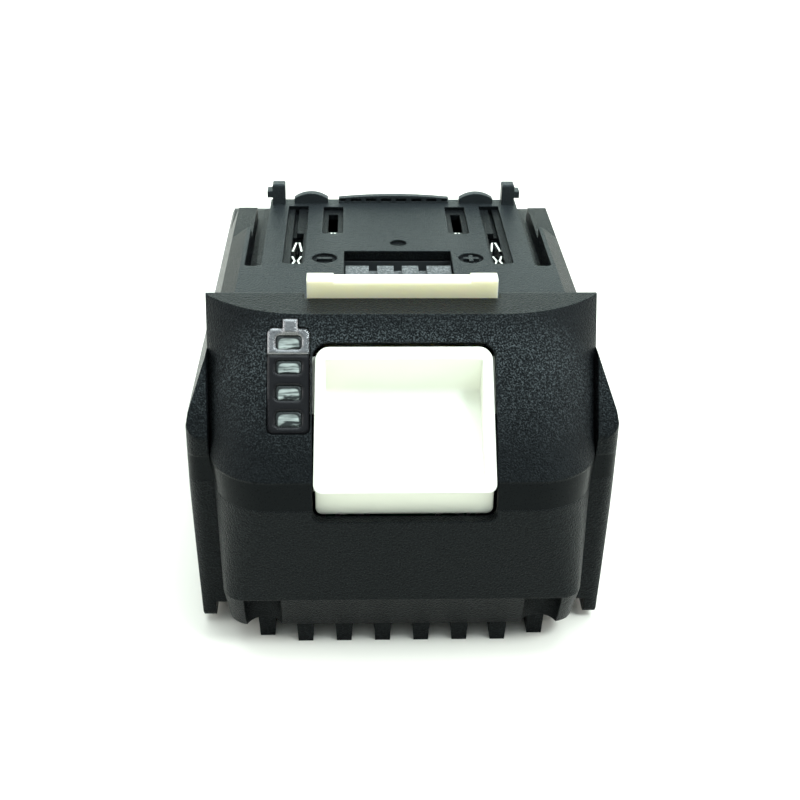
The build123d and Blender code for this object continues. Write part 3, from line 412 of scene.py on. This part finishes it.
# Looks of the plain plastics and metals, and the functions of the rest
PLASTICS = {
    "button_plastic": dict(
        colours=((0.84, 0.86, 0.74), (0.86, 0.88, 0.77)),
        grain_mm=0.3, depth_mm=0.006, rough=(0.34, 0.44), edge_mm=0.5,
    ),
    "gauge_gloss": dict(
        colours=((0.004, 0.004, 0.005), (0.006, 0.006, 0.007)),
        grain_mm=1.6, depth_mm=0.05, rough=(0.1, 0.2), edge_mm=1.0, gloss=0.22,
    ),
    "block_plastic": dict(
        colours=((0.022, 0.026, 0.028), (0.028, 0.033, 0.035)),
        grain_mm=0.3, depth_mm=0.02, rough=(0.4, 0.55), edge_mm=0.2,
    ),
    "holder_plastic": dict(
        colours=((0.03, 0.03, 0.032), (0.04, 0.04, 0.042)),
        grain_mm=0.3, depth_mm=0.01, rough=(0.45, 0.6), edge_mm=0.2,
    ),
    "cell_wrap": dict(
        colours=((0.03, 0.15, 0.08), (0.04, 0.18, 0.1)),
        grain_mm=6.0, depth_mm=0.01, rough=(0.2, 0.3), edge_mm=0.2,
    ),
    "foam": dict(
        colours=((0.03, 0.03, 0.032), (0.05, 0.05, 0.052)),
        grain_mm=0.5, depth_mm=0.1, rough=(0.8, 0.95), edge_mm=0.1,
    ),
    "fish_paper": dict(
        colours=((0.30, 0.24, 0.14), (0.36, 0.29, 0.17)),
        grain_mm=0.4, depth_mm=0.02, rough=(0.7, 0.85), edge_mm=0.05,
    ),
    "board_laminate": dict(
        colours=((0.01, 0.09, 0.035), (0.014, 0.11, 0.045)),
        grain_mm=1.0, depth_mm=0.01, rough=(0.3, 0.4), edge_mm=0.1,
    ),
    "part_black": dict(
        colours=((0.015, 0.015, 0.015), (0.02, 0.02, 0.02)),
        grain_mm=0.2, depth_mm=0.01, rough=(0.4, 0.55), edge_mm=0.1,
    ),
    "part_ceramic": dict(
        colours=((0.30, 0.22, 0.14), (0.36, 0.27, 0.17)),
        grain_mm=0.3, depth_mm=0.01, rough=(0.4, 0.5), edge_mm=0.1,
    ),
    "led_resin": dict(
        colours=((0.7, 0.72, 0.66), (0.76, 0.78, 0.72)),
        grain_mm=0.5, depth_mm=0.01, rough=(0.15, 0.25), edge_mm=0.1,
    ),
}
METALS = {
    "contact_metal": dict(colour=(0.80, 0.80, 0.77), rough=(0.16, 0.3), edge_mm=0.08),
    "nickel": dict(colour=(0.66, 0.65, 0.62), rough=(0.25, 0.4), edge_mm=0.08),
    "spring_steel": dict(colour=(0.55, 0.55, 0.56), rough=(0.25, 0.4), edge_mm=0.05),
    "zinc_steel": dict(colour=(0.58, 0.59, 0.62), rough=(0.25, 0.42), edge_mm=0.15),
}
OWN_FUNCTIONS = {
    "case_plastic": case_material,
    "latch_plastic": latch_material,
    "key_gloss": key_material,
    "window_clear": light_pipe,
    "connector_plastic": coarse_plastic,
}


def make_materials():
    made = {name: plastic(name, **look) for name, look in PLASTICS.items()}
    made.update({name: metal(name, **look) for name, look in METALS.items()})
    made.update({name: make(name) for name, make in OWN_FUNCTIONS.items()})
    return made


def dress_nodes():
    slot_of = {part["node"]: part["material_slot"] for part in frame["record"]["subparts"]}
    for node_name, node in nodes.items():
        finish = "key_gloss" if node_name == "check_key" else slot_of[node_name]
        node.data.materials.clear()
        node.data.materials.append(materials[finish])


materials = make_materials()
dress_nodes()


# Release springs: real coils in place of the plain sleeves, and just inside them
SPRING_TURNS = 7
STEPS_PER_TURN = 28
WIRE_RADIUS = 0.35 * MM
WIRE_SIDES = 10
SLEEVE_INSET = 0.05 * MM


def ring_round(centre, along, radius, sides):
    # A ring of corners round a centre, square to the tube
    across = along.cross(Vector((0, 0, 1))).normalized()
    other = across.cross(along)
    corners = []
    for side in range(sides):
        angle = 2 * math.pi * side / sides
        corners.append(centre + (across * math.cos(angle) + other * math.sin(angle)) * radius)
    return corners


def tube_faces(rings, sides):
    faces = []
    for ring in range(rings - 1):
        for side in range(sides):
            corner = ring * sides + side
            beside = ring * sides + (side + 1) % sides
            faces.append((corner, beside, beside + sides, corner + sides))
    faces.append(tuple(range(sides)))
    faces.append(tuple(reversed(range((rings - 1) * sides, rings * sides))))
    return faces


def smooth_object(name, verts, faces, material):
    mesh = bpy.data.meshes.new(name)
    mesh.from_pydata(verts, [], faces)
    for polygon in mesh.polygons:
        polygon.use_smooth = True
    mesh.materials.append(material)
    made = bpy.data.objects.new(name, mesh)
    bpy.context.scene.collection.objects.link(made)
    return made


def make_tube(name, centres, radius, sides, material):
    # A closed tube through the centres
    verts = []
    last = len(centres) - 1
    for index, centre in enumerate(centres):
        after = centres[min(index + 1, last)]
        before = centres[max(index - 1, 0)]
        verts += ring_round(centre, (after - before).normalized(), radius, sides)
    return smooth_object(name, verts, tube_faces(len(centres), sides), material)


def coil_centres(low, high):
    # The middle line of a spring in a box, whose first and last turns lie against the next
    middle = (low + high) / 2
    radius = (high.x - low.x) / 2 - SLEEVE_INSET - WIRE_RADIUS
    foot = low.z + WIRE_RADIUS
    head = high.z - WIRE_RADIUS
    steps = SPRING_TURNS * STEPS_PER_TURN
    open_steps = steps - 2 * STEPS_PER_TURN
    centres = []
    for step in range(steps + 1):
        angle = 2 * math.pi * step / STEPS_PER_TURN
        share = min(max((step - STEPS_PER_TURN) / open_steps, 0), 1)
        first_turn = 2 * WIRE_RADIUS * min(step / STEPS_PER_TURN, 1)
        last_turn = 2 * WIRE_RADIUS * max((step - steps + STEPS_PER_TURN) / STEPS_PER_TURN, 0)
        x = middle.x + radius * math.cos(angle)
        y = middle.y + radius * math.sin(angle)
        z = foot + first_turn + (head - foot - 4 * WIRE_RADIUS) * share + last_turn
        centres.append(Vector((x, y, z)))
    return centres


def make_spring(name, node_name):
    low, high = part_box(node_name)
    coil = make_tube(name, coil_centres(low, high), WIRE_RADIUS, WIRE_SIDES, materials["spring_steel"])
    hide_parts(node_name)
    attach(coil, "pack")
    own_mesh(coil)


make_spring("release_spring_left_coil", "release_spring_left")
make_spring("release_spring_right_coil", "release_spring_right")


# Camera, fitted to the photograph: angles in radians, lens and sensor in millimetres
CAMERA_PLACE = Vector((-8.43, -236.97, 154.03)) * MM
CAMERA_YAW = 0.0401
CAMERA_PITCH = 0.5086
CAMERA_ROLL = 0.016
CAMERA_LENS = 57.6
CAMERA_SENSOR = 36.0
CAMERA_NEAR = 0.01
CAMERA_FAR = 20.0


def camera_turn():
    ahead = Vector(
        (
            math.sin(CAMERA_YAW) * math.cos(CAMERA_PITCH),
            math.cos(CAMERA_YAW) * math.cos(CAMERA_PITCH),
            -math.sin(CAMERA_PITCH),
        )
    )
    level = Vector((math.cos(CAMERA_YAW), -math.sin(CAMERA_YAW), 0))
    upright = level.cross(ahead)
    right = level * math.cos(CAMERA_ROLL) + upright * math.sin(CAMERA_ROLL)
    up = upright * math.cos(CAMERA_ROLL) - level * math.sin(CAMERA_ROLL)
    return Matrix((right, up, -ahead)).transposed().to_4x4()


def make_camera():
    data = bpy.data.cameras.new("camera")
    camera = bpy.data.objects.new("camera", data)
    bpy.context.scene.collection.objects.link(camera)
    data.lens = CAMERA_LENS
    data.sensor_width = CAMERA_SENSOR
    data.clip_start = CAMERA_NEAR
    data.clip_end = CAMERA_FAR
    camera.matrix_world = Matrix.Translation(CAMERA_PLACE) @ camera_turn()
    bpy.context.scene.camera = camera


# Studio floor, which curves up into a backdrop
FLOOR_COLOUR = (0.95, 0.91, 0.82, 1)
FLOOR_ROUGHNESS = 0.9
FLOOR_GLOSS = 0.1
FLOOR_FRONT = -1.6
FLOOR_REAR = 2.2
FLOOR_HALF_WIDTH = 2.5
BACKDROP_TOP = 1.8
BEND_RADIUS = 0.7
BEND_STEPS = 12


def floor_material():
    material, _, shader = new_material("floor")
    shader.inputs["Base Color"].default_value = FLOOR_COLOUR
    shader.inputs["Roughness"].default_value = FLOOR_ROUGHNESS
    shader.inputs["Specular IOR Level"].default_value = FLOOR_GLOSS
    return material


def floor_profile():
    profile = [(FLOOR_FRONT, 0.0)]
    for step in range(BEND_STEPS + 1):
        angle = math.pi / 2 * step / BEND_STEPS
        y = FLOOR_REAR - BEND_RADIUS + BEND_RADIUS * math.sin(angle)
        z = BEND_RADIUS - BEND_RADIUS * math.cos(angle)
        profile.append((y, z))
    profile.append((FLOOR_REAR, BACKDROP_TOP))
    return profile


def make_floor():
    profile = floor_profile()
    verts = []
    for y, z in profile:
        verts += [(-FLOOR_HALF_WIDTH, y, z), (FLOOR_HALF_WIDTH, y, z)]
    faces = []
    for row in range(len(profile) - 1):
        left = row * 2
        faces.append((left, left + 1, left + 3, left + 2))
    floor = smooth_object("floor", verts, faces, floor_material())


# Soft lights: two from above, one on the backdrop and a weak one at each side
COOL = (0.86, 0.97, 1.0)
COOLER = (0.72, 0.95, 1.0)
PACK_MIDDLE = (0, 0, 0.03)
BACKDROP_MIDDLE = (0, FLOOR_REAR, BACKDROP_TOP / 2)
SIDE_REACH = 0.9


def area_light(name, place, target, size, power, colour=(1, 1, 1)):
    data = bpy.data.lights.new(name, "AREA")
    data.shape = "RECTANGLE"
    data.size, data.size_y = size
    data.energy = power
    data.color = colour
    light = bpy.data.objects.new(name, data)
    bpy.context.scene.collection.objects.link(light)
    light.location = place
    light.rotation_euler = (Vector(target) - Vector(place)).to_track_quat("-Z", "Y").to_euler()


def make_lights():
    area_light(
        "top_light",
        place=(0.0, 0.2, 0.9), target=PACK_MIDDLE, size=(0.9, 0.6), power=8, colour=COOL,
    )
    area_light(
        "spark_light",
        place=(0.5, -0.35, 0.9), target=PACK_MIDDLE, size=(0.26, 0.26), power=6, colour=COOL,
    )
    area_light(
        "back_light",
        place=(0.0, 1.0, 1.1), target=BACKDROP_MIDDLE, size=(1.2, 0.5), power=36, colour=COOLER,
    )
    for name, x in (("left_light", -SIDE_REACH), ("right_light", SIDE_REACH)):
        area_light(name, place=(x, -0.1, 0.35), target=PACK_MIDDLE, size=(0.4, 0.5), power=3)


# Room: bright overhead and behind the pack, dim low on the near side.
# Its limits are measured along a direction of length one.
ROOM_DIM = (0.08, 0.085, 0.09)
ROOM_BRIGHT = (0.84, 0.96, 1.0)
ROOM_SEEN = (1, 1, 1)
ROOM_STRENGTH = 1.15
BEHIND_FROM = -0.3
BEHIND_FULL = 0.4
OVERHEAD_FROM = 0.25
OVERHEAD_FULL = 0.8


def make_world():
    world = bpy.data.worlds.new("world")
    bpy.context.scene.world = world
    world.use_nodes = True
    tree = world.node_tree
    room = tree.nodes["Background"]
    towards = along_axes(tree, tree.nodes.new("ShaderNodeTexCoord").outputs["Generated"])
    behind = spread(tree, towards["Y"], BEHIND_FROM, BEHIND_FULL, 0.0, 1.0)
    overhead = spread(tree, towards["Z"], OVERHEAD_FROM, OVERHEAD_FULL, 0.0, 1.0)
    glow = colour_between(tree, larger(tree, behind, overhead), ROOM_DIM, ROOM_BRIGHT)
    # Where the camera sees the room itself, it shows as plain white
    seen = tree.nodes.new("ShaderNodeLightPath").outputs["Is Camera Ray"]
    tree.links.new(colour_between(tree, seen, glow, ROOM_SEEN), room.inputs["Color"])
    room.inputs["Strength"].default_value = ROOM_STRENGTH


make_camera()
make_floor()
make_world()
make_lights()
bpy.context.scene.view_settings.view_transform = "Standard"
